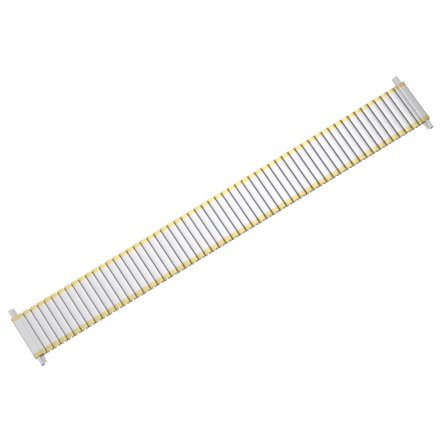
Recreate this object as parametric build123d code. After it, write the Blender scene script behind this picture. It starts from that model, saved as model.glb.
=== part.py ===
from build123d import *
import os

# Expansion watch band, laid flat: X runs along the band, Y across it, and +Z is the side seen when worn.
# A top row and a bottom row of hollow links lie half a link apart. U-shaped bows join the rows along
# both edges, one leg in a top link and one in a bottom link, and a leaf spring in every link presses
# on the legs. The origin is at the middle of the band's underside.

# The run of links
side_link_count = 27
link_pitch = 2.65
band_width = 16.0

# Shells, the decorative caps of the top links
shell_gap = 0.3
shell_sheet = 0.24
shell_edge_run = 0.18
shell_edge_fall = 0.07
lip_sheet = 0.1
lip_drop = 0.3

# Sleeves, the hollow bodies of the top and bottom links
top_sleeve_gap = 0.35
bottom_sleeve_gap = 0.4
sleeve_height = 1.1
sleeve_wall = 0.14
sleeve_set_back = 0.15
row_gap = 0.05

# Bows, the U-shaped staples that join the rows
bow_width = 0.55
bow_sheet = 0.28
bow_leg_length = 2.2
bow_leg_lift = 0.12
bow_side_gap = 0.075
bow_end_gap = 0.05

# Leaf springs, one in every link
leaf_sheet = 0.08
leaf_roof_gap = 0.02
leaf_side_gap = 0.06
leaf_end_gap = 0.15

# End pieces, which hold the telescoping inserts
groove_place = 1.5
groove_width = 0.16
groove_depth = 0.13
end_wall = 0.14
end_set_back = 0.1
end_corner = 0.42
skirt_sheet = 0.15
skirt_lift = 0.3

# Inserts, the sprung end tubes that take the watch's spring bars
insert_width_open = 22.0
insert_travel = 3.0
insert_middle_gap = 0.2
insert_gap = 0.035
insert_tube_wall = 0.15
tube_sides = 24
insert_lobe_outside = 0.9
lobe_sides = 12
insert_lobe_bore = 0.6
lobe_bore_sides = 8
insert_seam = 0.05
insert_spring_seat = 3.8
stop_width = 0.4
stop_length = 0.5
stop_inset = 0.15
stop_gap = 0.05
spring_outside = 0.5
spring_inside = 0.3
spring_sides = 8
spring_end_gap = 0.05

# Sizes that follow from the ones above
shell_width = link_pitch - shell_gap
top_sleeve_width = link_pitch - top_sleeve_gap
bottom_sleeve_width = link_pitch - bottom_sleeve_gap
sleeve_length = band_width - 2 * sleeve_set_back
top_row_z = sleeve_height + row_gap
shell_z = top_row_z + sleeve_height
bow_from_bottom = bottom_sleeve_width / 2 - sleeve_wall - bow_side_gap - bow_width / 2
bow_web_face = sleeve_length / 2 + bow_end_gap
last_gap_x = (side_link_count + 0.5) * link_pitch
end_inner_x = last_gap_x + shell_gap / 2
end_low_x = last_gap_x + bottom_sleeve_width / 2 + row_gap
cavity_inner_x = end_low_x + end_wall
cavity_floor_z = end_wall
cavity_roof_z = shell_z - end_wall
cavity_middle_z = (cavity_floor_z + cavity_roof_z) / 2
insert_tube_outside = cavity_roof_z - cavity_floor_z - 2 * insert_gap
insert_tube_bore = insert_tube_outside - 2 * insert_tube_wall
lobe_x = cavity_inner_x + insert_gap + insert_lobe_outside / 2
tube_x = lobe_x + insert_lobe_outside / 2 - insert_seam + insert_tube_outside / 2
cavity_outer_x = tube_x + insert_tube_outside / 2 + insert_gap
end_outer_x = cavity_outer_x + end_wall + skirt_sheet
insert_outer_y = insert_width_open / 2
insert_inner_y = insert_travel + insert_middle_gap / 2
insert_length = insert_outer_y - insert_inner_y
stop_inner_y = insert_inner_y + stop_inset
stop_outer_y = stop_inner_y + stop_length


def slab(low, high):
    """A box between two opposite corners."""
    size = [b - a for a, b in zip(low, high)]
    middle = [(a + b) / 2 for a, b in zip(low, high)]
    return Pos(*middle) * Box(*size)


def across(outline, length):
    """A profile drawn in X and Z, pulled to both sides along Y."""
    return extrude(Plane.XZ * outline, amount=length / 2, both=True)


def tube_section(width, height, wall, x, z):
    """A rectangular hollow section whose middle is at x and z."""
    return Pos(x, z) * (Rectangle(width, height) - Rectangle(width - 2 * wall, height - 2 * wall))


def shell():
    """A top link's cap: a plate with sloped edges, turned down at both ends of the link."""
    half = band_width / 2
    side = [
        (-half, shell_z - lip_drop),
        (-half, shell_z + shell_sheet),
        (half, shell_z + shell_sheet),
        (half, shell_z - lip_drop),
        (half - lip_sheet, shell_z - lip_drop),
        (half - lip_sheet, shell_z),
        (-half + lip_sheet, shell_z),
        (-half + lip_sheet, shell_z - lip_drop),
    ]
    plate = extrude(Plane.YZ * make_face(Polyline(*side, close=True)), shell_width / 2, both=True)
    top = plate.faces().sort_by(Axis.Z)[-1]
    return chamfer(top.edges(), length=shell_edge_fall, length2=shell_edge_run, reference=top)


def sleeve(width, floor_z):
    """A link's hollow body, open at both ends."""
    section = tube_section(width, sleeve_height, sleeve_wall, 0, floor_z + sleeve_height / 2)
    return across(section, sleeve_length)


def leaf(width, floor_z):
    """The flat spring under a link's roof."""
    roof = floor_z + sleeve_height - sleeve_wall - leaf_roof_gap
    half_x = width / 2 - sleeve_wall - leaf_side_gap
    half_y = sleeve_length / 2 - leaf_end_gap
    return slab((-half_x, -half_y, roof - leaf_sheet), (half_x, half_y, roof))


def bow(end):
    """A U-shaped bow standing at x = 0, at the edge where y has the sign of end."""
    low = sleeve_wall + bow_leg_lift
    high = top_row_z + low + bow_sheet
    tip = bow_web_face - bow_end_gap - bow_leg_length
    back = bow_web_face + bow_sheet
    outline = [
        (tip, low),
        (back, low),
        (back, high),
        (tip, high),
        (tip, high - bow_sheet),
        (bow_web_face, high - bow_sheet),
        (bow_web_face, low + bow_sheet),
        (tip, low + bow_sheet),
    ]
    points = [(end * y, z) for y, z in outline]
    return extrude(Plane.YZ * make_face(Polyline(*points, close=True)), bow_width / 2, both=True)


def end_shell():
    """The right end's cap: a grooved plate with a rounded skirt down its outer side."""
    top = shell_z + shell_sheet
    section = [
        (end_inner_x, shell_z),
        (end_inner_x, top),
        (end_outer_x, top),
        (end_outer_x, skirt_lift),
        (end_outer_x - skirt_sheet, skirt_lift),
        (end_outer_x - skirt_sheet, shell_z),
    ]
    cap = across(make_face(Polyline(*section, close=True)), band_width)
    outer_edge = cap.edges().filter_by(Axis.Y).sort_by(lambda e: e.center().X + e.center().Z)[-1]
    cap = fillet(outer_edge, end_corner)
    inner_edge = cap.edges().filter_by(Axis.Y).group_by(Axis.Z)[-1].sort_by(Axis.X)[0]
    plate_side = cap.faces().sort_by(Axis.X)[0]
    cap = chamfer(inner_edge, length=shell_edge_fall, length2=shell_edge_run, reference=plate_side)
    groove_x = last_gap_x + groove_place
    groove = [
        (groove_x - groove_width / 2, top),
        (groove_x, top - groove_depth),
        (groove_x + groove_width / 2, top),
        (groove_x + groove_width / 2, top + groove_depth),
        (groove_x - groove_width / 2, top + groove_depth),
    ]
    cap -= across(make_face(Polyline(*groove, close=True)), 2 * band_width)
    for end in (-1, 1):
        y_low, y_high = sorted((end * band_width / 2, end * (band_width / 2 - lip_sheet)))
        cap += slab((end_inner_x, y_low, shell_z - lip_drop), (end_low_x, y_high, shell_z))
    return cap


def end_housing():
    """The right end's body: a half link for the last bows, and the tunnel that the inserts slide in."""
    outer_x = cavity_outer_x + end_wall
    outline = [
        (end_inner_x, top_row_z),
        (end_inner_x, shell_z),
        (outer_x, shell_z),
        (outer_x, 0),
        (end_low_x, 0),
        (end_low_x, top_row_z),
    ]
    length = band_width - 2 * end_set_back
    body = across(make_face(Polyline(*outline, close=True)), length)
    outer_edges = body.edges().filter_by(Axis.Y).sort_by(Axis.X)[-2:]
    body = fillet(outer_edges, end_corner - skirt_sheet)
    chamber_low = (end_inner_x + end_wall, -length, top_row_z + end_wall)
    chamber_high = (end_low_x, length, shell_z - end_wall)
    tunnel_low = (cavity_inner_x, -length, cavity_floor_z)
    tunnel_high = (cavity_outer_x, length, cavity_roof_z)
    body -= slab(chamber_low, chamber_high)
    body -= slab(tunnel_low, tunnel_high)
    for end in (-1, 1):
        y_low, y_high = sorted((end * sleeve_length / 2, end * length))
        body -= slab((0, y_low, top_row_z), (end_low_x, y_high, shell_z))
        y_low, y_high = sorted((end * insert_middle_gap / 2, end * (stop_outer_y + stop_gap)))
        half = stop_width / 2 + stop_gap
        body -= slab((lobe_x - half, y_low, -end_wall), (lobe_x + half, y_high, cavity_floor_z))
    return body


def end_leaf():
    """The short flat spring in the right end's half link."""
    roof = shell_z - end_wall - leaf_roof_gap
    low_x = end_inner_x + end_wall + leaf_side_gap
    high_x = end_low_x - leaf_side_gap
    half_y = sleeve_length / 2 - leaf_end_gap
    return slab((low_x, -half_y, roof - leaf_sheet), (high_x, half_y, roof))


def insert(end):
    """A telescoping insert of the right end: a tube for the spring bar, a lobe beside it and a stop."""
    middle_y = end * (insert_outer_y + insert_inner_y) / 2
    inner_y = end * insert_inner_y
    seat_y = end * (insert_inner_y + insert_spring_seat)
    tube = RegularPolygon(insert_tube_outside / 2, tube_sides)
    lobe = Pos(lobe_x - tube_x, 0) * RegularPolygon(insert_lobe_outside / 2, lobe_sides)
    neck = Pos((lobe_x - tube_x) / 2, 0) * Rectangle(tube_x - lobe_x, insert_lobe_outside / 2)
    section = tube + lobe + neck - Circle(insert_tube_bore / 2)
    body = Pos(0, middle_y, 0) * across(Pos(tube_x, cavity_middle_z) * section, insert_length)
    bore = across(RegularPolygon(insert_lobe_bore / 2, lobe_bore_sides), insert_spring_seat)
    body -= Pos(lobe_x, (inner_y + seat_y) / 2, cavity_middle_z) * bore
    y_low, y_high = sorted((end * stop_inner_y, end * stop_outer_y))
    stop_top = cavity_middle_z - (insert_lobe_outside + insert_lobe_bore) / 4
    stop_low = (lobe_x - stop_width / 2, y_low, stop_gap)
    return body + slab(stop_low, (lobe_x + stop_width / 2, y_high, stop_top))


def insert_spring():
    """The slim coil spring between the right end's two inserts, drawn as an eight-sided sleeve of its size."""
    length = 2 * (insert_inner_y + insert_spring_seat - spring_end_gap)
    outside = RegularPolygon(spring_outside / 2, spring_sides)
    ring = outside - RegularPolygon(spring_inside / 2, spring_sides)
    return across(Pos(lobe_x, cavity_middle_z) * ring, length)


TOP_SHELL = shell()
TOP_SLEEVE = sleeve(top_sleeve_width, top_row_z)
BOTTOM_SLEEVE = sleeve(bottom_sleeve_width, 0)
TOP_LEAF = leaf(top_sleeve_width, top_row_z)
BOTTOM_LEAF = leaf(bottom_sleeve_width, 0)
BOWS = [bow(-1), bow(1)]


def top_x(side, steps):
    """Where the top link lies that is some steps from the middle one."""
    return side * steps * link_pitch


def bottom_x(side, steps):
    """Where the bottom link lies on the outer side of that top link."""
    return side * (steps + 0.5) * link_pitch


def bows_within(side, steps):
    """The two bows from a top link to the bottom link on its outer side."""
    return [Pos(bottom_x(side, steps) - side * bow_from_bottom, 0, 0) * b for b in BOWS]


def bows_beyond(side, steps):
    """The two bows from that bottom link to the next top link out."""
    return [Pos(bottom_x(side, steps) + side * bow_from_bottom, 0, 0) * b for b in BOWS]


def link(side, steps):
    """A top link, the bottom link on its outer side, their leaf springs and the two bows between them."""
    top = [Pos(top_x(side, steps), 0, 0) * piece for piece in (TOP_SHELL, TOP_SLEEVE, TOP_LEAF)]
    bottom = [Pos(bottom_x(side, steps), 0, 0) * piece for piece in (BOTTOM_SLEEVE, BOTTOM_LEAF)]
    return top + bottom + bows_within(side, steps)


def link_number(side, steps):
    """Links are numbered from the left end, from 1."""
    return side_link_count + 1 + side * steps


def middle_nodes():
    """The middle link and the bottom links on both sides of it, with each kind of piece in its own node."""
    sides = (-1, 1)
    number = link_number(1, 0)
    return {
        f"link_{number}_shell": [TOP_SHELL],
        f"link_{number}_top_sleeve": [TOP_SLEEVE],
        f"link_{number}_bottom_sleeves": [Pos(bottom_x(s, 0), 0, 0) * BOTTOM_SLEEVE for s in sides],
        f"link_{number}_leaf_springs": [TOP_LEAF]
        + [Pos(bottom_x(s, 0), 0, 0) * BOTTOM_LEAF for s in sides],
        f"link_{number}_bows": bows_within(-1, 0) + bows_within(1, 0),
    }


def side_nodes(side):
    """One side's links, two to a node, and the bows that span each gap where the band opens."""
    nodes = {}
    slides = True
    inner = 0
    while inner < side_link_count:
        group = [n for n in (inner + 1, inner + 2) if n <= side_link_count]
        numbers = sorted(link_number(side, n) for n in group)
        pieces = [piece for n in group for piece in link(side, n)]
        for n in group[:-1]:
            pieces += bows_beyond(side, n)
        crossing = bows_beyond(side, inner)
        if slides:
            low, high = sorted((link_number(side, inner), link_number(side, inner + 1)))
            nodes[f"bows_{low}_{high}"] = crossing
        else:
            pieces += crossing
        word = "links_" if len(group) > 1 else "link_"
        nodes[word + "_".join(str(n) for n in numbers)] = pieces
        slides = not slides
        inner = group[-1]
    name = "right" if side > 0 else "left"
    nodes[f"bows_{name}_end"] = bows_beyond(side, side_link_count)
    return nodes


def end_nodes(side):
    """An end piece with its inserts. The left end is the right end mirrored."""
    name = "right" if side > 0 else "left"
    nodes = {
        f"end_shell_{name}": [end_shell()],
        f"end_housing_{name}": [end_housing(), end_leaf()],
        f"insert_{name}_front": [insert(-1)],
        f"insert_{name}_back": [insert(1)],
        f"insert_spring_{name}": [insert_spring()],
    }
    if side > 0:
        return nodes
    return {key: [mirror(piece, Plane.YZ) for piece in pieces] for key, pieces in nodes.items()}


def main():
    nodes = middle_nodes()
    for side in (-1, 1):
        nodes.update(side_nodes(side))
        nodes.update(end_nodes(side))
    os.makedirs("parts", exist_ok=True)
    for name, pieces in nodes.items():
        export_step(Compound(label=name, children=pieces), f"parts/{name}.step")
    print(len(nodes), "nodes,", sum(len(pieces) for pieces in nodes.values()), "solids")


main()
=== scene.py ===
"""Models and finishes the pieces of a two-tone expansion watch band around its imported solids."""
import math
import random

import bmesh
import bpy
from mathutils import Matrix, Vector


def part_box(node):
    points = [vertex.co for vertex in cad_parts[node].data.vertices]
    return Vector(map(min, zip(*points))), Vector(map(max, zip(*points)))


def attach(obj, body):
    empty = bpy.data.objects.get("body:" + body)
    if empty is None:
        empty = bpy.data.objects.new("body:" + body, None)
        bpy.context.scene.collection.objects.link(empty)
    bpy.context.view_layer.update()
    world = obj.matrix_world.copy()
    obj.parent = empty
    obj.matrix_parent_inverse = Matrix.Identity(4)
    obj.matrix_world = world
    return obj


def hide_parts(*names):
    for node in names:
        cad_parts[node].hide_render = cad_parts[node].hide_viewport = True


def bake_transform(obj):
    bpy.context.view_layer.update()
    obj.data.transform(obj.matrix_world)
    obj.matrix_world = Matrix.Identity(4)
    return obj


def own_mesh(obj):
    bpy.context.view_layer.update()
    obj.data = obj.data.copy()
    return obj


bl_info = {
    "name": "Two-tone expansion watch band",
    "version": (1, 0, 0),
    "blender": (4, 5, 0),
    "location": "View3D > Sidebar > Watch Band",
    "description": "Models and finishes the pieces of an expansion watch band on its packed solids",
    "category": "Object",
}

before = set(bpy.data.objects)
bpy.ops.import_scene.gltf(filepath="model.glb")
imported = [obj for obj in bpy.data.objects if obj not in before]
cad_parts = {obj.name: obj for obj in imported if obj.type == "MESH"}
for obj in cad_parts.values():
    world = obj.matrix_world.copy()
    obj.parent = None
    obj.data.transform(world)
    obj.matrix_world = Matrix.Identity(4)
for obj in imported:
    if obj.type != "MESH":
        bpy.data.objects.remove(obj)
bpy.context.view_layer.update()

MM = 0.001
LINKS_EACH_SIDE = 27
MIDDLE_LINK = 28

# Places within NEAR count as the same, and points within DOUBLE are made one
NEAR = 0.01 * MM
DOUBLE = NEAR / 10

# How many half-steps the first opening between bodies spans, each later one and the last one of a side
FIRST_SPAN = 6
SPAN = 8
LAST_SPAN = 2
LAST_OPENING = 7

# How many links lie between two hinges
HINGE_LINKS = SPAN // 2

# Length of a blend's run along the band, so long that no piece bends in itself
FAR_AWAY = 100.0

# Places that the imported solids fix
SHELL_LOW, SHELL_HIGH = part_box("link_28_shell")
TOP_LOW, TOP_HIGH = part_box("link_28_top_sleeve")
BOTTOM_LOW, BOTTOM_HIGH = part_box("link_28_bottom_sleeves")
_, NEAR_BOWS_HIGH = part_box("link_28_bows")
FAR_BOWS_LOW, FAR_BOWS_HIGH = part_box("bows_28_29")
END_LOW, END_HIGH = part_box("end_shell_right")
INSERT_LOW, INSERT_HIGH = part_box("insert_right_front")
COIL_LOW, COIL_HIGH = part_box("insert_spring_right")
BOW_WIDTH = FAR_BOWS_HIGH.x - FAR_BOWS_LOW.x
NEAR_BOW_X = NEAR_BOWS_HIGH.x - BOW_WIDTH / 2
FAR_BOW_X = FAR_BOWS_HIGH.x - BOW_WIDTH / 2
PITCH = NEAR_BOW_X + FAR_BOW_X
BOW_REACH = (FAR_BOW_X - NEAR_BOW_X) / 2
BOTTOM_HALF = BOTTOM_HIGH.x - PITCH / 2
LOBE_X = (COIL_LOW.x + COIL_HIGH.x) / 2
INSERT_Z = (COIL_LOW.z + COIL_HIGH.z) / 2
TUBE_RADIUS = INSERT_HIGH.z - INSERT_Z
TUBE_X = INSERT_HIGH.x - TUBE_RADIUS
LOBE_RADIUS = LOBE_X - INSERT_LOW.x
LOW_LEG_Z = FAR_BOWS_LOW.z
HIGH_LEG_Z = FAR_BOWS_HIGH.z

# The camera's place and turn, found from the photograph's own frame of 440 by 440
FRAME_PIXELS = 440
FOCAL_PIXELS = 2070.741
SENSOR_WIDTH = 36.0
CAMERA_AZIMUTH = math.radians(-24.20583)
CAMERA_ELEVATION = math.radians(69.69750)
CAMERA_ROLL = math.radians(-8.42860)
CAMERA_DISTANCE = 688.119 * MM
CAMERA_TARGET = Vector((-1.155516, 0.051045, 1.0)) * MM
CAMERA_CLIP = (0.01, 20.0)

# Brightness of the studio by the direction's X, for what the flat tops mirror, and by its Y lower down
SKY_ALONG = (
    (0.0, 0.5), (0.2, 0.42), (0.3, 0.32), (0.36, 0.45), (0.45, 0.6), (0.515, 0.56), (0.535, 0.7),
    (0.555, 0.76), (0.585, 1.0), (0.613, 1.0), (0.627, 0.62), (0.66, 0.25), (0.75, 0.25), (1.0, 0.45),
)
SKY_ACROSS = ((0.0, 0.55), (0.2, 0.45), (0.4, 0.4), (0.5, 0.5), (0.7, 0.6), (1.0, 0.7))

# Over which run of the direction's Y the light on top brightens towards the back, and by which factors
SKY_TILT_RUN, SKY_TILT = (0.05, 0.6), (1.0, 1.28)

# Over which run of the direction's Z the light on top takes over
SKY_TOP_RUN = (0.3, 0.8)
SKY_STRENGTH = 1.16
FLOOR_GLOW = 0.65
FLOOR_SIZE = 8.0
WHITE = (1.0, 1.0, 1.0, 1.0)

# Name, place, width and power of each lamp
LAMPS = (("soft_lamp", (-0.7, -0.3, 0.6), 0.4, 1.0),)

# The grain of the metals: its scales and its shares in the tint and in the gloss
STREAK_SCALE = (900.0, 16000.0, 900.0)
STREAK_DETAIL = 3.0
STREAK_DEPTH = 0.004 * MM
BLOTCH_SCALE = 420.0
BLOTCH_DETAIL = 2.0
TONE_TINT, BLOTCH_TINT, STREAK_TINT = 0.5, 0.3, 0.2
STREAK_GLOSS, BLOTCH_GLOSS = 0.08, 0.06

# The zones of painted shade and of the painted gold reflection: their gloss, how softly they start, and
# how far from a sleeve's end
ZONE_ROUGHNESS = 0.6
FADE = 0.05 * MM
RIM_START, RIM_END = 6 * FADE, 2 * FADE

# How level a face is between a wall and a roof, and how far sideways a bow's stamped sides look
ROOF_SHARE = (0.3, 0.7)
STAMPED_SHARE = (0.6, 0.9)

# How squarely a face has to look along an axis to be picked by its normal
SQUARELY = 0.9

# Where a shell's crown is cut, in shares of its half width
CROWN_ROWS = (0.4, 0.78)

# How finely edges, bends and round pieces are made
LEAF_PARTS = 4
EDGE_STEPS = 3
END_CORNER_STEPS = 6
TUBE_SIDES = 40
LOBE_SIDES = 24
SEAT_SIDES = 16
COIL_TURNS = 24
TURN_STEPS = 8
WIRE_SIDES = 6

# How an end cap sinks towards its groove: shares of the way to it and of the sink
GROOVE_SINKS = (
    (0.19, 0.0), (0.5, 0.2), (0.75, 0.55), (0.975, 1.0), (1.0, 1.0), (1.025, 1.0), (1.27, 0.85),
)


def length(name, description, millimetres):
    return bpy.props.FloatProperty(
        name=name, description=description, default=millimetres * MM, unit="LENGTH", precision=5
    )


def colour(name, description, red, green, blue):
    return bpy.props.FloatVectorProperty(
        name=name, description=description, default=(red, green, blue), subtype="COLOR", size=3,
        min=0.0, max=1.0,
    )


def share(name, description, default):
    return bpy.props.FloatProperty(
        name=name, description=description, default=default, min=0.0, max=1.0, subtype="FACTOR"
    )


class BandSizes(bpy.types.PropertyGroup):
    """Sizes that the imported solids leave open"""

    gold_length: length("Gold length", "Length of the gold at each end of a shell", 1.5)
    shell_crown: length("Shell crown", "How far a shell's long edges lie under its middle", 0.02)
    shell_end_fall: length("Shell end fall", "How far a shell's gold ends slope down", 0.06)
    shell_edge: length("Shell edge", "Radius along a shell's edges", 0.07)
    lip_sheet: length("Lip sheet", "Thickness of the lips at a shell's ends", 0.1)
    sleeve_sheet: length("Sleeve sheet", "Wall of the rolled sleeves", 0.14)
    sleeve_corner: length("Sleeve corner", "Radius of a sleeve's long corners", 0.2)
    leaf_sheet: length("Leaf sheet", "Thickness of the leaf springs", 0.08)
    leaf_sag: length("Leaf sag", "How far a leaf spring's ends bend down", 0.11)
    leaf_side_gap: length("Leaf side gap", "Room beside a leaf spring", 0.06)
    leaf_end_gap: length("Leaf end gap", "Room past a leaf spring's ends", 0.15)
    leaf_roof_gap: length("Leaf roof gap", "Room over a leaf spring's middle", 0.02)
    bow_sheet: length("Bow sheet", "Thickness of the bows", 0.28)
    bow_leg: length("Bow leg", "Length of a bow's legs, past its web", 2.25)
    bow_corner: length("Bow corner", "Outer radius of a bow's bends", 0.24)
    bow_edge: length("Bow edge", "Radius of a bow's stamped edges", 0.05)
    web_width: length("Web width", "Width of a bow outside the sleeves", 0.85)
    skirt_sheet: length("Skirt sheet", "Thickness of the skirt down an end cap's outer side", 0.15)
    end_corner: length("End corner", "Radius of an end cap's outer edge", 0.42)
    groove_place: length("Groove place", "From an end cap's inner edge to its groove", 1.6)
    groove_depth: length("Groove depth", "Depth of an end cap's groove", 0.05)
    groove_sink: length("Groove sink", "How far an end cap sinks beside its groove", 0.036)
    end_fall: length("End fall", "How far an end cap slopes down to its outer edge", 0.078)
    end_lip_length: length("End lip length", "Length of the lips beside an end cap's half link", 1.065)
    tube_wall: length("Tube wall", "Wall of the inserts' tubes", 0.15)
    lobe_bore: length("Lobe bore", "Radius of the seat for the coil spring", 0.3)
    lobe_seat: length("Lobe seat", "Depth of the seat for the coil spring", 3.8)
    insert_travel: length("Insert travel", "How far an insert slides in", 3.0)
    coil_wire: length("Coil wire", "Thickness of the coil springs' wire", 0.1)
    insert_edge: length("Insert edge", "Radius of an insert's cut ends", 0.05)
    notch: length("Notch", "Side of the notch at an insert's outer end", 0.5)
    stop_width: length("Stop width", "Width of the stop under an insert's lobe", 0.4)
    stop_length: length("Stop length", "Length of the stop under an insert's lobe", 0.5)
    stop_inset: length("Stop inset", "From an insert's inner end to its stop", 0.15)
    stop_root: length("Stop root", "From a lobe's middle down to where its stop starts", 0.39)


class BandColours(bpy.types.PropertyGroup):
    """Colours and gloss of the band's metals"""

    steel: colour("Shell steel", "Satin steel of the shells", 0.86, 0.85, 0.875)
    gold: colour("Gold", "Pale gold plating of the shells' ends", 0.86, 0.745, 0.335)
    sleeve: colour("Sleeve steel", "Rolled steel of the sleeves", 0.54, 0.54, 0.56)
    # A painted reflection of the gold ends on the sleeve steel under them
    brass: colour(
        "Painted gold reflection", "Sleeve steel under the gold, where the gold above is mirrored", 0.82, 0.71, 0.24
    )
    bow: colour("Bow steel", "Tumbled steel of the bows", 0.44, 0.44, 0.45)
    # Painted shade: a dark colour in the slots, on the sleeves' open ends and on the bows' lower bends
    # and stamped sides
    tarnish: colour("Tarnish", "Dark steel in the slots and on the bows' lower bends", 0.13, 0.13, 0.14)
    spring: colour("Spring steel", "Steel of the leaf and coil springs", 0.45, 0.45, 0.48)
    insert: colour("Insert steel", "Smooth steel of the inserts", 0.95, 0.945, 0.95)
    steel_roughness: share("Steel roughness", "Roughness of the satin steel", 0.18)
    gold_roughness: share("Gold roughness", "Roughness of the gold", 0.16)


class BandStage(bpy.types.PropertyGroup):
    """The floor under the band"""

    floor_drop: length("Floor drop", "How far the floor lies under the band", 120.0)
    floor_colour: colour("Floor colour", "The pale floor", 0.85, 0.85, 0.85)


def sizes():
    return bpy.context.scene.band_sizes


def colours():
    return bpy.context.scene.band_colours


class Socket:
    """A shader socket to calculate with: each operator adds the Math node for it."""

    def __init__(self, maker, socket):
        self.maker = maker
        self.socket = socket

    def calculated(self, operation, *values):
        return self.maker.node("ShaderNodeMath", {"operation": operation}, dict(enumerate(values)))

    def __add__(self, other):
        return self.calculated("ADD", self, other)

    def __sub__(self, other):
        return self.calculated("SUBTRACT", self, other)

    def __mul__(self, other):
        return self.calculated("MULTIPLY", self, other)

    def __rsub__(self, other):
        return self.calculated("SUBTRACT", other, self)

    __radd__ = __add__
    __rmul__ = __mul__


class Shader:
    """A node tree and the one method that adds its nodes."""

    def __init__(self, tree):
        self.tree = tree
        tree.nodes.clear()

    def node(self, kind, settings=None, values=None, output=0):
        """Adds a node: its settings are made first, then each socket gets a value or a link."""
        made = self.tree.nodes.new(kind)
        for name, setting in (settings or {}).items():
            if name == "stops":
                ramp = made.color_ramp
                while len(ramp.elements) < len(setting):
                    ramp.elements.new(1.0)
                for element, (place, tint) in zip(ramp.elements, setting):
                    element.position = place
                    element.color = tint
            else:
                setattr(made, name, setting)
        for name, value in (values or {}).items():
            if isinstance(value, Socket):
                self.tree.links.new(value.socket, made.inputs[name])
            else:
                made.inputs[name].default_value = value
        return Socket(self, made.outputs[output]) if len(made.outputs) else None

    def part(self, vector, axis):
        """One of a vector's three numbers."""
        return self.node("ShaderNodeSeparateXYZ", None, {0: vector}, axis)

    def distance(self, vector, axis):
        """How far a vector reaches along an axis, on either side."""
        return self.node("ShaderNodeMath", {"operation": "ABSOLUTE"}, {0: self.part(vector, axis)})

    def facing(self, axis):
        """How far the surface faces along an axis, from 0 to 1."""
        return self.distance(self.node("ShaderNodeTexCoord", None, None, "Normal"), axis)

    def blend(self, factor, first, second):
        """A colour between two others."""
        settings = {"data_type": "RGBA"}
        return self.node("ShaderNodeMix", settings, {0: factor, 6: first, 7: second}, 2)

    def range(self, value, low, high, to_low=0.0, to_high=1.0):
        """A value eased from one range into another."""
        settings = {"interpolation_type": "SMOOTHSTEP"}
        return self.node(
            "ShaderNodeMapRange", settings, {0: value, 1: low, 2: high, 3: to_low, 4: to_high}
        )


def tinted(rgb, factor=1.0):
    return tuple(min(1.0, part * factor) for part in rgb) + (1.0,)


def under_gold(shader, place):
    """1 on the top row's sleeve ends and on the bottom row's roofs, under the gold, where a reflection
    of the gold is painted.
    """
    far, z = shader.distance(place, 1), shader.part(place, 2)
    gold_y = SHELL_HIGH.y - sizes().gold_length
    roof = BOTTOM_HIGH.z - sizes().sleeve_sheet
    return shader.range(far, gold_y - FADE, gold_y + FADE) * shader.range(z, roof - FADE, roof)


def in_slots(shader, place):
    """1 on the bottom row's upright faces and on all the sleeves' open ends, where shade is painted."""
    far, z = shader.distance(place, 1), shader.part(place, 2)
    rim = shader.range(far, TOP_HIGH.y - RIM_START, TOP_HIGH.y - RIM_END)
    low = 1 - shader.range(z, BOTTOM_HIGH.z - 2 * FADE, BOTTOM_HIGH.z - FADE)
    upright = 1 - shader.range(shader.facing(2), *ROOF_SHARE)
    return rim + low * upright * (1 - rim)


def low_on_bow(shader, place):
    """1 at the foot of the bows' webs, fading out on the way up, and on their stamped sides: where
    shade is painted.
    """
    z = shader.part(place, 2)
    full_shade_z, unshaded_z = (3 * LOW_LEG_Z + HIGH_LEG_Z) / 4, (LOW_LEG_Z + 2 * HIGH_LEG_Z) / 3
    foot = 1 - shader.range(z, full_shade_z, unshaded_z)
    return foot + shader.range(shader.facing(0), *STAMPED_SHARE) * (1 - foot)


def metal(name, rgb, roughness, spread, streak, warm=0.0, zones=()):
    """A worked metal: fine streaks along the band, a tone of its own for each piece, faint blotches.
    Spread is how far the tint varies, streak how deep the streaks look, and warm how much yellower the
    tint's dark end is. Each zone is another colour and the rule that says where it takes over."""
    made = bpy.data.materials.new(name)
    made.use_nodes = True
    shader = Shader(made.node_tree)
    place = shader.node("ShaderNodeTexCoord", None, None, "Object")
    tone = shader.node("ShaderNodeAttribute", {"attribute_name": "tone"}, None, "Fac")
    stretched = shader.node(
        "ShaderNodeVectorMath", {"operation": "MULTIPLY"}, {0: place, 1: STREAK_SCALE}
    )
    streaks = shader.node(
        "ShaderNodeTexNoise", None,
        {"Vector": stretched, "Scale": 1.0, "Detail": STREAK_DETAIL}, "Fac",
    )
    blotches = shader.node(
        "ShaderNodeTexNoise", None,
        {"Vector": place, "Scale": BLOTCH_SCALE, "Detail": BLOTCH_DETAIL}, "Fac",
    )
    mixed = tone * TONE_TINT + blotches * BLOTCH_TINT + streaks * STREAK_TINT
    red, green, blue = rgb
    dark = tinted((red, green * (1 - warm / 2), blue * (1 - warm)), 1 - spread)
    base = shader.blend(mixed, dark, tinted(rgb, 1 + spread))
    least = roughness - (STREAK_GLOSS + BLOTCH_GLOSS) / 2
    gloss = streaks * STREAK_GLOSS + blotches * BLOTCH_GLOSS + least
    for other, where in zones:
        there = where(shader, place)
        base = shader.blend(there, base, tinted(other))
        gloss = gloss + there * (ZONE_ROUGHNESS - gloss)
    height = shader.node(
        "ShaderNodeBump", None,
        {"Height": streaks, "Strength": streak, "Distance": STREAK_DEPTH}, "Normal",
    )
    skin = shader.node(
        "ShaderNodeBsdfPrincipled", None,
        {"Base Color": base, "Metallic": 1.0, "Roughness": gloss, "Normal": height},
    )
    shader.node("ShaderNodeOutputMaterial", None, {"Surface": skin})
    return made


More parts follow.
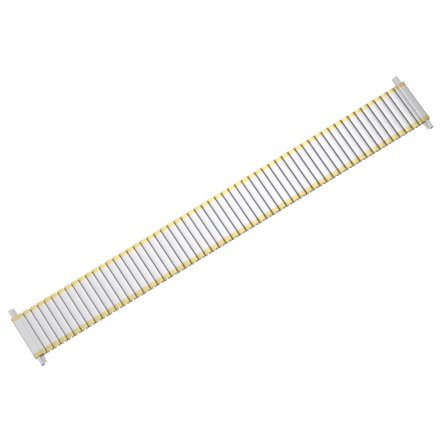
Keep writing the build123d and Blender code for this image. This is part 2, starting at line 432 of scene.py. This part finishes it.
def finish_named(name):
    """The material of that name, made on first use."""
    ready = bpy.data.materials.get(name)
    if ready:
        return ready
    tints = colours()
    recipes = {
        "satin_steel": dict(
            rgb=tints.steel, roughness=tints.steel_roughness, spread=0.03, streak=0.35
        ),
        "pale_gold": dict(
            rgb=tints.gold, roughness=tints.gold_roughness, spread=0.05, streak=0.3, warm=0.12
        ),
        "rolled_steel": dict(
            rgb=tints.sleeve, roughness=0.3, spread=0.05, streak=0.6,
            # On the rolled steel: a painted reflection of the gold under the shells' ends, and painted
            # shade in the slots
            zones=((tints.brass, under_gold), (tints.tarnish, in_slots)),
        ),
        "tumbled_steel": dict(
            rgb=tints.bow, roughness=0.28, spread=0.06, streak=0.4,
            # Painted shade on the bows' lower bends and stamped sides
            zones=((tints.tarnish, low_on_bow),),
        ),
        "dull_spring": dict(rgb=tints.spring, roughness=0.36, spread=0.05, streak=0.4),
        "smooth_steel": dict(rgb=tints.insert, roughness=0.34, spread=0.04, streak=0.3),
    }
    return metal(name, **recipes[name])


def only(piece):
    """Selects one object and nothing else."""
    bpy.ops.object.select_all(action="DESELECT")
    piece.select_set(True)
    bpy.context.view_layer.objects.active = piece


def settle():
    bpy.ops.object.transform_apply(location=True, rotation=True, scale=True)


def block(name, low, high):
    """A box between two corners, with its place in its mesh."""
    bpy.ops.object.select_all(action="DESELECT")
    low, high = Vector(low), Vector(high)
    bpy.ops.mesh.primitive_cube_add(size=1.0, location=(low + high) / 2)
    piece = bpy.context.object
    piece.name = name
    piece.scale = high - low
    settle()
    return piece


def rod(name, radius, low_y, high_y, x, z, sides):
    """A round bar along Y."""
    bpy.ops.object.select_all(action="DESELECT")
    bpy.ops.mesh.primitive_cylinder_add(
        vertices=sides, radius=radius, depth=high_y - low_y,
        location=(x, (low_y + high_y) / 2, z), rotation=(math.pi / 2, 0, 0),
    )
    piece = bpy.context.object
    piece.name = name
    settle()
    return piece


class Shaping:
    """Edit mode on one piece, in which points, edges and faces are picked by a rule on their place."""

    def __init__(self, piece):
        self.piece = piece

    def __enter__(self):
        only(self.piece)
        bpy.ops.object.mode_set(mode="EDIT")
        return self

    def __exit__(self, *problem):
        bpy.ops.object.mode_set(mode="OBJECT")

    def pick(self, kind, rule):
        """Points: rule(place). Edges: rule(place, place). Faces: rule(middle, normal)."""
        bpy.ops.mesh.select_mode(type=kind)
        bpy.ops.mesh.select_all(action="DESELECT")
        shape = bmesh.from_edit_mesh(self.piece.data)
        for part in {"VERT": shape.verts, "EDGE": shape.edges, "FACE": shape.faces}[kind]:
            if kind == "VERT":
                chosen = rule(part.co)
            elif kind == "EDGE":
                chosen = rule(part.verts[0].co, part.verts[1].co)
            else:
                chosen = rule(part.calc_center_median(), part.normal)
            if chosen:
                part.select_set(True)
        bmesh.update_edit_mesh(self.piece.data)

    def cut(self, axis, *places):
        """Cuts the mesh through at places along an axis."""
        for place in places:
            point, normal = [0.0, 0.0, 0.0], [0.0, 0.0, 0.0]
            point[axis], normal[axis] = place, 1.0
            bpy.ops.mesh.select_all(action="SELECT")
            bpy.ops.mesh.bisect(plane_co=point, plane_no=normal, threshold=DOUBLE)

    def pull(self, x=0.0, y=0.0, z=0.0):
        bpy.ops.transform.translate(value=(x, y, z))

    def extrude(self, x=0.0, y=0.0, z=0.0):
        bpy.ops.mesh.extrude_region_move(TRANSFORM_OT_translate={"value": (x, y, z)})

    def bevel(self, width, segments):
        bpy.ops.mesh.bevel(
            offset_type="OFFSET", offset=width, segments=segments, profile=0.5, affect="EDGES",
            clamp_overlap=False,
        )

    def merge(self):
        """Merges doubles and takes out faces with no area."""
        bpy.ops.mesh.select_all(action="SELECT")
        bpy.ops.mesh.remove_doubles(threshold=DOUBLE)
        bpy.ops.mesh.dissolve_degenerate(threshold=DOUBLE)

    def outward(self):
        """Turns every face outwards. A closed shape that comes out inside out is turned once more."""
        bpy.ops.mesh.select_all(action="SELECT")
        bpy.ops.mesh.normals_make_consistent(inside=False)
        if bmesh.from_edit_mesh(self.piece.data).calc_volume(signed=True) < 0:
            bpy.ops.mesh.flip_normals()


def modified(piece, kind, **settings):
    """Adds a modifier and applies it."""
    only(piece)
    bpy.ops.object.modifier_add(type=kind)
    modifier = piece.modifiers[-1]
    for name, value in settings.items():
        setattr(modifier, name, value)
    bpy.ops.object.modifier_apply(modifier=modifier.name)


def carved(piece, cutter, operation="DIFFERENCE"):
    """Joins or takes away another shape, which is used up."""
    modified(piece, "BOOLEAN", operation=operation, object=cutter, solver="EXACT")
    bpy.data.objects.remove(cutter)


def joined(*pieces):
    """Several objects made one, under the first one's name."""
    bpy.ops.object.select_all(action="DESELECT")
    for piece in pieces:
        piece.select_set(True)
    bpy.context.view_layer.objects.active = pieces[0]
    bpy.ops.object.join()
    return pieces[0]


def smoothed(piece, degrees=40.0):
    """Smooth shading over soft edges, with flats that stay flat."""
    only(piece)
    bpy.ops.object.shade_smooth_by_angle(angle=math.radians(degrees))
    modified(piece, "WEIGHTED_NORMAL", keep_sharp=True)


def finished(piece, *names):
    """Gives a piece its materials."""
    piece.data.materials.clear()
    for name in names:
        piece.data.materials.append(finish_named(name))
    return piece


def two_toned(piece, gold_y):
    """Steel in the middle and gold at both ends."""
    finished(piece, "satin_steel", "pale_gold")
    for face in piece.data.polygons:
        face.material_index = int(abs(face.center.y) > gold_y)


def toned(piece, key):
    """Writes the piece's own tone, which its materials read."""
    tone = random.Random(key).random()
    attribute = piece.data.attributes.new("tone", "FLOAT", "POINT")
    attribute.data.foreach_set("value", [tone] * len(piece.data.vertices))


def doubled(model, name):
    """A copy of a model with its own mesh."""
    piece = model.copy()
    piece.data = model.data.copy()
    piece.name = piece.data.name = name
    bpy.context.collection.objects.link(piece)
    return piece


def copied(model, name, x=0.0):
    """A copy with its own tone, moved along the band."""
    piece = doubled(model, name)
    piece.data.transform(Matrix.Translation((x, 0, 0)))
    toned(piece, name)
    return piece


def mirrored(model, name, axis=0):
    """A copy turned over to the other side of the band, with its faces still outwards."""
    piece = doubled(model, name)
    only(piece)
    piece.scale[axis] = -1.0
    settle()
    with Shaping(piece) as shaping:
        shaping.outward()
    return piece


def between(table, place):
    """A table's value at a place, in a straight line between its two neighbours."""
    before = max(key for key in table if key <= place + NEAR)
    after = min(key for key in table if key >= place - NEAR)
    if after <= before:
        return table[before]
    return table[before] + (table[after] - table[before]) * (place - before) / (after - before)


def used_up(*models):
    for model in models:
        bpy.data.objects.remove(model)


# How the pieces follow the bodies. Half-steps count from the middle link outwards on one side: an even
# one is a top link's place and an odd one a bottom link's, half a link further out.


def group_links(side, group):
    """The numbers of a group's two links, or of the last link alone, as text."""
    steps = [n for n in (2 * group - 1, 2 * group) if n <= LINKS_EACH_SIDE]
    return [str(n) for n in sorted(MIDDLE_LINK + side * n for n in steps)]


def group_name(side, group):
    """The body that a group's links ride on."""
    return "_".join(["group", *group_links(side, group)])


def end_name(side):
    return "right_end" if side > 0 else "left_end"


def side_word(side):
    return "right" if side > 0 else "left"


def stretch_of(half):
    """The opening that a half-step lies in."""
    return 1 + (half - FIRST_SPAN) // SPAN


def bodies_of(side, opening):
    """The two bodies that an opening parts."""
    inner = group_name(side, 2 * opening) if opening else "middle"
    outer = group_name(side, 2 * opening + 1) if opening < LAST_OPENING else end_name(side)
    return inner, outer


def share_of(half):
    """How far a half-step has gone from its opening's inner body to its outer one."""
    opening = stretch_of(half)
    start = FIRST_SPAN + SPAN * (opening - 1) if opening else 0
    span = {0: FIRST_SPAN, LAST_OPENING: LAST_SPAN}.get(opening, SPAN)
    if half == start + span - 1 and opening < LAST_OPENING:
        return 1.0
    return (half - start) / span


def eased_place(weight):
    """The place along a blend at which its easing gives that weight."""
    return 0.5 - math.sin(math.asin(1 - 2 * weight) / 3)


def follow_link(piece, side, half):
    """Lets a link's piece ride on its body; a piece between two bodies is left where it is."""
    inner, outer = bodies_of(side, stretch_of(half))
    weight = share_of(half)
    if weight <= 0 or weight >= 1:
        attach(piece, outer if weight >= 1 else inner)
        return
    x = side * half * PITCH / 2
    start = x - FAR_AWAY * eased_place(weight)
    start + FAR_AWAY
    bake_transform(piece)


def follow_bows(piece, side, half):
    """Lets the bows from a half-step to the next one ride on a body where the two half-steps lie in
    different openings; other bows are left where they are.
    """
    if stretch_of(half) != stretch_of(half + 1):
        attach(piece, bodies_of(side, stretch_of(half + 1))[0])
        return
    top, bottom = (half + 1, half) if half % 2 else (half, half + 1)
    low_place, high_place = eased_place(share_of(bottom)), eased_place(share_of(top))
    low_z = LOW_LEG_Z + sizes().bow_sheet / 2
    high_z = HIGH_LEG_Z - sizes().bow_sheet / 2
    run = (high_z - low_z) / (high_place - low_place)
    start = low_z - low_place * run
    inner, outer = bodies_of(side, stretch_of(half))
    start + run
    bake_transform(piece)


def group_node(side, steps):
    """The CAD node that holds a link."""
    numbers = group_links(side, (steps + 1) // 2)
    return "_".join(["links" if len(numbers) > 1 else "link", *numbers])


def bows_node(side, half):
    """The CAD node that holds the bows from a half-step to the next one."""
    steps = half // 2
    if half == 0:
        return "link_28_bows"
    if half % 2 and steps == LINKS_EACH_SIDE:
        return f"bows_{side_word(side)}_end"
    if half % 2 == 0 or steps % 2:
        return group_node(side, steps)
    if steps % HINGE_LINKS == 0:
        low, high = sorted((MIDDLE_LINK + side * steps, MIDDLE_LINK + side * (steps + 1)))
        return f"bows_{low}_{high}"
    return group_node(side, steps + 1)


def number_of(first, side, steps):
    """A piece's number, from left to right. The first one on the right side has the number FIRST."""
    return first + (steps if side > 0 else -1 - steps)


def top_links():
    """Side and steps of every top link, the middle one once."""
    yield 1, 0
    for side in (-1, 1):
        for steps in range(1, LINKS_EACH_SIDE + 1):
            yield side, steps


def bottom_links():
    for side in (-1, 1):
        for steps in range(LINKS_EACH_SIDE + 1):
            yield side, steps


class MakeShells(bpy.types.Operator):
    """Models one two-tone shell and sets a copy on every top link"""

    bl_idname = "band.make_shells"
    bl_label = "Shells"

    def execute(self, context):
        size = sizes()
        half_x, half_y = SHELL_HIGH.x, SHELL_HIGH.y
        gold_y = half_y - size.gold_length
        mid_gold_y = half_y - size.gold_length / 2
        lip_y = half_y - size.lip_sheet
        under = TOP_HIGH.z
        rows = [row * half_x for row in CROWN_ROWS]
        model = block("shell", (-half_x, -half_y, under), SHELL_HIGH)
        with Shaping(model) as shaping:
            shaping.cut(0, *rows, *(-row for row in rows))
            shaping.cut(1, gold_y, mid_gold_y, lip_y, -gold_y, -mid_gold_y, -lip_y)
            shaping.pick("FACE", lambda at, normal: normal.z < -SQUARELY and abs(at.y) > lip_y)
            shaping.extrude(z=SHELL_LOW.z - under)
            for row in (*rows, half_x):
                shaping.pick("VERT", lambda at: at.z > under + NEAR and abs(abs(at.x) - row) < NEAR)
                shaping.pull(z=-size.shell_crown * (row / half_x) ** 2)
            for row in (mid_gold_y, lip_y, half_y):
                fall = size.shell_end_fall * ((row - gold_y) / size.gold_length) ** 2
                shaping.pick("VERT", lambda at: at.z > under + NEAR and abs(abs(at.y) - row) < NEAR)
                shaping.pull(z=-fall)
            shaping.pick(
                "EDGE",
                lambda a, b: min(a.z, b.z) > under + NEAR
                and (
                    min(abs(a.x), abs(b.x)) > half_x - NEAR or min(abs(a.y), abs(b.y)) > half_y - NEAR
                ),
            )
            shaping.bevel(size.shell_edge, EDGE_STEPS)
        two_toned(model, gold_y)
        smoothed(model)
        for side, steps in top_links():
            number = MIDDLE_LINK + side * steps
            shell = copied(model, f"shell_{number:02d}", side * steps * PITCH)
            follow_link(shell, side, 2 * steps)
            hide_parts(group_node(side, steps) if steps else "link_28_shell")
        used_up(model)
        return {"FINISHED"}


def rolled_sleeve(name, low, high):
    """A rolled sleeve, open at both ends, with its leaf spring under the roof."""
    size = sizes()
    sleeve = block(name, low, high)
    with Shaping(sleeve) as shaping:
        shaping.pick("EDGE", lambda a, b: abs(a.y - b.y) > high[1])
        shaping.bevel(size.sleeve_corner, EDGE_STEPS)
        shaping.pick("FACE", lambda at, normal: abs(normal.y) > SQUARELY)
        bpy.ops.mesh.delete(type="FACE")
    modified(sleeve, "SOLIDIFY", thickness=size.sleeve_sheet, offset=-1.0, use_even_offset=True)
    finished(sleeve, "rolled_steel")
    smoothed(sleeve)
    roof = high[2] - size.sleeve_sheet - size.leaf_roof_gap
    side_room = size.sleeve_sheet + size.leaf_side_gap
    reach = high[1] - size.leaf_end_gap
    leaf = block("leaf", (low[0] + side_room, -reach, roof - size.leaf_sheet),
                 (high[0] - side_room, reach, roof))
    with Shaping(leaf) as shaping:
        rows = [reach * part / LEAF_PARTS for part in range(1, LEAF_PARTS + 1)]
        shaping.cut(1, 0.0, *rows[:-1], *(-row for row in rows[:-1]))
        for row in rows:
            shaping.pick("VERT", lambda at: abs(abs(at.y) - row) < NEAR)
            shaping.pull(z=-size.leaf_sag * (row / reach) ** 2)
    finished(leaf, "dull_spring")
    smoothed(leaf)
    return joined(sleeve, leaf)


class MakeTopSleeves(bpy.types.Operator):
    """Models one top sleeve with its leaf spring and sets a copy under every shell"""

    bl_idname = "band.make_top_sleeves"
    bl_label = "Top sleeves"

    def execute(self, context):
        model = rolled_sleeve("sleeve", TOP_LOW, TOP_HIGH)
        for side, steps in top_links():
            number = MIDDLE_LINK + side * steps
            sleeve = copied(model, f"top_sleeve_{number:02d}", side * steps * PITCH)
            follow_link(sleeve, side, 2 * steps)
            if steps:
                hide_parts(group_node(side, steps))
            else:
                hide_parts("link_28_top_sleeve", "link_28_leaf_springs")
        used_up(model)
        return {"FINISHED"}


class MakeBottomSleeves(bpy.types.Operator):
    """Models one bottom sleeve with its leaf spring and sets a copy under every gap"""

    bl_idname = "band.make_bottom_sleeves"
    bl_label = "Bottom sleeves"

    def execute(self, context):
        low = (-BOTTOM_HALF, BOTTOM_LOW.y, BOTTOM_LOW.z)
        high = (BOTTOM_HALF, BOTTOM_HIGH.y, BOTTOM_HIGH.z)
        model = rolled_sleeve("sleeve", low, high)
        for side, steps in bottom_links():
            number = number_of(MIDDLE_LINK, side, steps)
            sleeve = copied(model, f"bottom_sleeve_{number:02d}", side * (steps + 0.5) * PITCH)
            follow_link(sleeve, side, 2 * steps + 1)
            if steps:
                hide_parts(group_node(side, steps))
            else:
                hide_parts("link_28_bottom_sleeves", "link_28_leaf_springs")
        used_up(model)
        return {"FINISHED"}


class MakeBows(bpy.types.Operator):
    """Models a front and a back bow and sets a pair of copies at every place between the rows"""

    bl_idname = "band.make_bows"
    bl_label = "Bows"

    def execute(self, context):
        size = sizes()
        half, outer = BOW_WIDTH / 2, FAR_BOWS_HIGH.y
        inner = outer - size.bow_sheet
        low_roof, high_floor = LOW_LEG_Z + size.bow_sheet, HIGH_LEG_Z - size.bow_sheet
        back = block("bows", (-half, inner, LOW_LEG_Z), (half, outer, HIGH_LEG_Z))
        widen = size.web_width / 2 - half
        with Shaping(back) as shaping:
            shaping.cut(2, low_roof, high_floor)
            shaping.pick(
                "FACE",
                lambda at, normal: normal.y < -SQUARELY and not low_roof < at.z < high_floor,
            )
            shaping.extrude(y=-size.bow_leg)
            shaping.cut(1, inner - size.bow_edge)
            shaping.pick(
                "EDGE",
                lambda a, b: min(a.y, b.y) > outer - NEAR and abs(a.z - b.z) < NEAR
                and not LOW_LEG_Z + NEAR < a.z < HIGH_LEG_Z - NEAR,
            )
            shaping.bevel(size.bow_corner, EDGE_STEPS)
            shaping.pick("EDGE", lambda a, b: min(a.y, b.y) > outer - NEAR and abs(a.x - b.x) < NEAR)
            shaping.bevel(size.bow_edge, segments=1)
            for end in (-1, 1):
                shaping.pick(
                    "VERT", lambda at: at.y > inner - NEAR and at.x * end > half - size.bow_edge - NEAR
                )
                shaping.pull(x=end * widen)
            shaping.merge()
            shaping.outward()
        finished(back, "tumbled_steel")
        front = mirrored(back, "bows_front", 1)
        model = joined(back, front)
        smoothed(model)
        for side, steps in bottom_links():
            middle = side * (steps + 0.5) * PITCH
            for beyond in (0, 1):
                half_step = 2 * steps + beyond
                x = middle + side * (BOW_REACH if beyond else -BOW_REACH)
                number = number_of(2 * MIDDLE_LINK + 1, side, half_step)
                bows = copied(model, f"bows_{number:03d}", x)
                follow_bows(bows, side, half_step)
                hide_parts(bows_node(side, half_step))
        used_up(model)
        return {"FINISHED"}


class MakeEndShells(bpy.types.Operator):
    """Models the grooved cap of the right end and its mirror image for the left end"""

    bl_idname = "band.make_end_shells"
    bl_label = "End shells"

    def execute(self, context):
        size = sizes()
        under = TOP_HIGH.z
        inner_x, outer_x, half_y, top = END_LOW.x, END_HIGH.x, END_HIGH.y, END_HIGH.z
        gold_y = half_y - size.gold_length
        lip_y = half_y - size.lip_sheet
        lip_x = inner_x + size.end_lip_length
        skirt_x = outer_x - size.skirt_sheet
        groove_x = inner_x + size.groove_place
        cap = block("end_cap_right", (inner_x, -half_y, under), END_HIGH)
        with Shaping(cap) as shaping:
            shaping.cut(0, skirt_x)
            shaping.pick("FACE", lambda at, normal: normal.z < -SQUARELY and at.x > skirt_x)
            shaping.extrude(z=END_LOW.z - under)
            shaping.pick(
                "EDGE",
                lambda a, b: min(a.z, b.z) > under - NEAR
                and abs(a.x - skirt_x) < NEAR and abs(b.x - skirt_x) < NEAR
                and not (a.z < under + NEAR and b.z < under + NEAR),
            )
            bpy.ops.mesh.dissolve_edges()
            shaping.pick(
                "EDGE",
                lambda a, b: min(a.z, b.z) > top - NEAR and min(a.x, b.x) > outer_x - NEAR,
            )
            shaping.bevel(size.end_corner, END_CORNER_STEPS)
            shaping.cut(0, lip_x)
            shaping.cut(1, lip_y, -lip_y, gold_y, -gold_y)
            shaping.pick(
                "FACE",
                lambda at, normal: normal.z < -SQUARELY and abs(at.y) > lip_y and at.x < lip_x,
            )
            shaping.extrude(z=SHELL_LOW.z - under)
            shaping.pick(
                "EDGE",
                lambda a, b: (
                    min(a.z, b.z) > under + NEAR or min(a.x, b.x) > skirt_x + NEAR
                )
                and (
                    min(abs(a.y), abs(b.y)) > half_y - NEAR
                    or (max(a.x, b.x) < inner_x + NEAR and min(a.z, b.z) > top - NEAR)
                ),
            )
            shaping.bevel(size.shell_edge, EDGE_STEPS)
            falls = {
                inner_x + place * size.groove_place: fall * size.groove_sink
                for place, fall in GROOVE_SINKS
            }
            falls[groove_x] += size.groove_depth
            cuts = list(falls)
            shaping.cut(0, *cuts)
            falls[outer_x - size.end_corner] = size.end_fall
            for place in (lip_x, *cuts):
                shaping.pick("VERT", lambda at: abs(at.x - place) < NEAR and at.z > under + NEAR)
                shaping.pull(z=-between(falls, place))
            shaping.pick(
                "VERT", lambda at: at.x > outer_x - size.end_corner - NEAR and at.z > under + NEAR
            )
            shaping.pull(z=-size.end_fall)
            shaping.merge()
            shaping.outward()
        two_toned(cap, gold_y)
        other = mirrored(cap, "end_cap_left")
        for side, piece in ((1, cap), (-1, other)):
            smoothed(piece)
            toned(piece, piece.name)
            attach(piece, end_name(side))
            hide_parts(f"end_shell_{side_word(side)}")
        return {"FINISHED"}


class FinishHousings(bpy.types.Operator):
    """Gives the end housings and their leaf springs their metal"""

    bl_idname = "band.finish_housings"
    bl_label = "Housings"

    def execute(self, context):
        for side in (-1, 1):
            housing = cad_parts[f"end_housing_{side_word(side)}"]
            for slot in housing.material_slots:
                slot.material = finish_named("rolled_steel")
        return {"FINISHED"}


class MakeCoils(bpy.types.Operator):
    """Models half a coil spring, and sets two in each end"""

    bl_idname = "band.make_coils"
    bl_label = "Coil springs"

    def execute(self, context):
        size = sizes()
        reach = COIL_HIGH.y
        wire = size.coil_wire / 2
        radius = (COIL_HIGH.z - COIL_LOW.z) / 2 - wire
        bpy.ops.object.select_all(action="DESELECT")
        bpy.ops.mesh.primitive_circle_add(vertices=WIRE_SIDES, radius=wire, location=(radius, 0, 0))
        model = bpy.context.object
        settle()
        modified(
            model, "SCREW", axis="Y", screw_offset=(reach - wire) / COIL_TURNS, iterations=COIL_TURNS,
            steps=TURN_STEPS, render_steps=TURN_STEPS,
        )
        with Shaping(model) as shaping:
            bpy.ops.mesh.select_all(action="SELECT")
            bpy.ops.mesh.fill_holes(sides=0)
            shaping.outward()
        finished(model, "dull_spring")
        smoothed(model, degrees=75.0)
        for side in (-1, 1):
            for face in ("front", "back"):
                coil = copied(model, f"coil_{side_word(side)}_{face}")
                only(coil)
                coil.rotation_euler.x = math.pi if face == "front" else 0.0
                settle()
                coil.data.transform(Matrix.Translation((side * LOBE_X, 0, INSERT_Z)))
                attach(coil, end_name(side))
                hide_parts(f"insert_spring_{side_word(side)}")
                f"insert_{side_word(side)}_{face}_slide"
                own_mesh(coil)
        used_up(model)
        return {"FINISHED"}


class MakeInserts(bpy.types.Operator):
    """Models one telescoping insert and its mirror images for the other three places"""

    bl_idname = "band.make_inserts"
    bl_label = "Inserts"

    def execute(self, context):
        size = sizes()
        outer_y, inner_y = INSERT_LOW.y, INSERT_HIGH.y
        tube_name = "insert_right_front_tube"
        model = rod(tube_name, TUBE_RADIUS, outer_y, inner_y, TUBE_X, INSERT_Z, TUBE_SIDES)
        lobe = rod("lobe", LOBE_RADIUS, outer_y, inner_y, LOBE_X, INSERT_Z, LOBE_SIDES)
        neck_half = LOBE_RADIUS / 2
        neck = block(
            "neck", (LOBE_X, outer_y, INSERT_Z - neck_half), (TUBE_X, inner_y, INSERT_Z + neck_half)
        )
        carved(model, lobe, "UNION")
        carved(model, neck, "UNION")
        past = size.insert_edge
        bore = rod(
            "bore", TUBE_RADIUS - size.tube_wall, outer_y - past, inner_y + past, TUBE_X, INSERT_Z,
            TUBE_SIDES,
        )
        carved(model, bore)
        seat = rod(
            "seat", size.lobe_bore, inner_y - size.lobe_seat, inner_y + past, LOBE_X, INSERT_Z,
            SEAT_SIDES,
        )
        carved(model, seat)
        stop_inner = inner_y - size.stop_inset
        stop = block(
            "stop", (LOBE_X - size.stop_width / 2, stop_inner - size.stop_length, INSERT_LOW.z),
            (LOBE_X + size.stop_width / 2, stop_inner, INSERT_Z - size.stop_root),
        )
        carved(model, stop, "UNION")
        with Shaping(model) as shaping:
            shaping.merge()
        back = mirrored(model, "insert_right_back_tube", 1)
        self.notched(model, TUBE_X - TUBE_RADIUS, outer_y)
        self.notched(back, INSERT_LOW.x, -outer_y)
        for piece in (model, back):
            finished(piece, "smooth_steel")
        pieces = [("right_front", model), ("right_back", back)]
        for name, source in list(pieces):
            word = name.replace("right", "left")
            pieces.append((word, mirrored(source, f"insert_{word}_tube")))
        for name, piece in pieces:
            smoothed(piece, degrees=50.0)
            toned(piece, piece.name)
            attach(piece, f"insert_{name}")
            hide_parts(f"insert_{name}")
        return {"FINISHED"}

    def notched(self, piece, x, end_y):
        """Cuts a notch into an insert's outer end, or its corner off, and softens the end's edges."""
        size = sizes()
        bpy.ops.object.select_all(action="DESELECT")
        bpy.ops.mesh.primitive_cube_add(
            size=size.notch, location=(x, end_y, INSERT_Z), rotation=(0, 0, math.pi / 4)
        )
        notch = bpy.context.object
        notch.scale.z = 4 * TUBE_RADIUS / size.notch
        settle()
        carved(piece, notch)
        with Shaping(piece) as shaping:
            shaping.merge()
            shaping.pick("EDGE", lambda a, b: min(abs(a.y), abs(b.y)) > abs(end_y) - NEAR)
            shaping.bevel(size.insert_edge, segments=2)


class SetStage(bpy.types.Operator):
    """Sets the pale floor, the soft lights and the camera"""

    bl_idname = "band.set_stage"
    bl_label = "Floor, lights and camera"

    def execute(self, context):
        self.floor()
        self.sky()
        self.lamps()
        self.camera()
        context.scene.view_settings.view_transform = "Standard"
        return {"FINISHED"}

    def floor(self):
        stage = bpy.context.scene.band_stage
        bpy.ops.object.select_all(action="DESELECT")
        bpy.ops.mesh.primitive_plane_add(size=FLOOR_SIZE, location=(0, 0, -stage.floor_drop))
        floor = bpy.context.object
        floor.name = "floor"
        settle()
        made = bpy.data.materials.new("pale_floor")
        made.use_nodes = True
        shader = Shader(made.node_tree)
        seen = sum(
            shader.node("ShaderNodeLightPath", None, None, name)
            for name in ("Is Camera Ray", "Is Glossy Ray", "Is Transmission Ray")
        )
        plain = shader.node("ShaderNodeBsdfDiffuse", None, {"Color": tinted(stage.floor_colour)})
        glow = shader.node("ShaderNodeEmission", None, {"Color": WHITE, "Strength": FLOOR_GLOW})
        glowing = shader.node("ShaderNodeAddShader", None, {0: plain, 1: glow})
        lit = shader.node("ShaderNodeMixShader", None, {0: seen, 1: plain, 2: glowing})
        behind = shader.node("ShaderNodeNewGeometry", None, None, "Backfacing")
        clear = shader.node("ShaderNodeBsdfTransparent")
        skin = shader.node("ShaderNodeMixShader", None, {0: behind, 1: lit, 2: clear})
        shader.node("ShaderNodeOutputMaterial", None, {"Surface": skin})
        floor.data.materials.append(made)

    def sky(self):
        """A bright studio, with the light that the shells mirror varying softly along the band."""
        world = bpy.context.scene.world or bpy.data.worlds.new("studio")
        bpy.context.scene.world = world
        world.use_nodes = True
        shader = Shader(world.node_tree)
        toward = shader.node("ShaderNodeTexCoord", None, None, "Generated")
        x, y, z = (shader.part(toward, axis) for axis in range(3))
        along, across = (
            shader.node(
                "ShaderNodeValToRGB",
                {"stops": [(place, (level, level, level, 1.0)) for place, level in table]},
                {0: toward_axis * 0.5 + 0.5}, "Color",
            )
            for table, toward_axis in ((SKY_ALONG, x), (SKY_ACROSS, y))
        )
        tilt = shader.range(y, *SKY_TILT_RUN, *SKY_TILT)
        along = shader.node(
            "ShaderNodeVectorMath", {"operation": "SCALE"}, {0: along, "Scale": tilt}
        )
        high = shader.range(z, *SKY_TOP_RUN)
        light = shader.blend(high, across, along)
        seen = shader.node("ShaderNodeLightPath", None, None, "Is Camera Ray")
        light = shader.blend(seen, light, WHITE)
        glow = shader.node("ShaderNodeBackground", None, {"Color": light, "Strength": SKY_STRENGTH})
        shader.node("ShaderNodeOutputWorld", None, {"Surface": glow})

    def lamps(self):
        for name, place, wide, watts in LAMPS:
            bpy.ops.object.select_all(action="DESELECT")
            bpy.ops.object.light_add(type="AREA", location=place)
            lamp = bpy.context.object
            lamp.name = name
            lamp.data.shape = "DISK"
            lamp.data.size = wide
            lamp.data.energy = watts
            lamp.rotation_euler = (-Vector(place)).to_track_quat("-Z", "Y").to_euler()

    def camera(self):
        level = math.cos(CAMERA_ELEVATION)
        back = Vector((
            math.sin(CAMERA_AZIMUTH) * level,
            -math.cos(CAMERA_AZIMUTH) * level,
            math.sin(CAMERA_ELEVATION),
        ))
        right = (-back).cross(Vector((0, 0, 1))).normalized()
        up = right.cross(-back)
        across = math.cos(CAMERA_ROLL) * right + math.sin(CAMERA_ROLL) * up
        upright = -math.sin(CAMERA_ROLL) * right + math.cos(CAMERA_ROLL) * up
        bpy.ops.object.camera_add()
        camera = bpy.context.object
        camera.name = "camera"
        camera.data.sensor_width = SENSOR_WIDTH
        camera.data.lens = FOCAL_PIXELS / FRAME_PIXELS * SENSOR_WIDTH
        camera.data.clip_start, camera.data.clip_end = CAMERA_CLIP
        turn = Matrix((across, upright, back)).transposed().to_4x4()
        camera.matrix_world = Matrix.Translation(CAMERA_TARGET + CAMERA_DISTANCE * back) @ turn
        bpy.context.scene.camera = camera


class BandPanel(bpy.types.Panel):
    """Lists the steps that build the band"""

    bl_idname = "BAND_PT_build"
    bl_label = "Watch Band"
    bl_space_type = "VIEW_3D"
    bl_region_type = "UI"
    bl_category = "Watch Band"

    def draw(self, context):
        for step in STEPS:
            self.layout.operator(step.bl_idname)
        for group in (context.scene.band_sizes, context.scene.band_colours, context.scene.band_stage):
            for name in group.bl_rna.properties.keys():
                if name not in ("name", "rna_type"):
                    self.layout.prop(group, name)


STEPS = (
    MakeShells, MakeTopSleeves, MakeBottomSleeves, MakeBows, MakeEndShells, FinishHousings,
    MakeCoils, MakeInserts, SetStage,
)
GROUPS = {"band_sizes": BandSizes, "band_colours": BandColours, "band_stage": BandStage}


def register():
    for kind in (*GROUPS.values(), *STEPS, BandPanel):
        bpy.utils.register_class(kind)
    for name, kind in GROUPS.items():
        setattr(bpy.types.Scene, name, bpy.props.PointerProperty(type=kind))


def unregister():
    for name in GROUPS:
        delattr(bpy.types.Scene, name)
    for kind in reversed((*GROUPS.values(), *STEPS, BandPanel)):
        bpy.utils.unregister_class(kind)


def main():
    register()
    bpy.ops.band.make_shells()
    bpy.ops.band.make_top_sleeves()
    bpy.ops.band.make_bottom_sleeves()
    bpy.ops.band.make_bows()
    bpy.ops.band.make_end_shells()
    bpy.ops.band.finish_housings()
    bpy.ops.band.make_coils()
    bpy.ops.band.make_inserts()
    bpy.ops.band.set_stage()


if __name__ == "__main__":
    main()
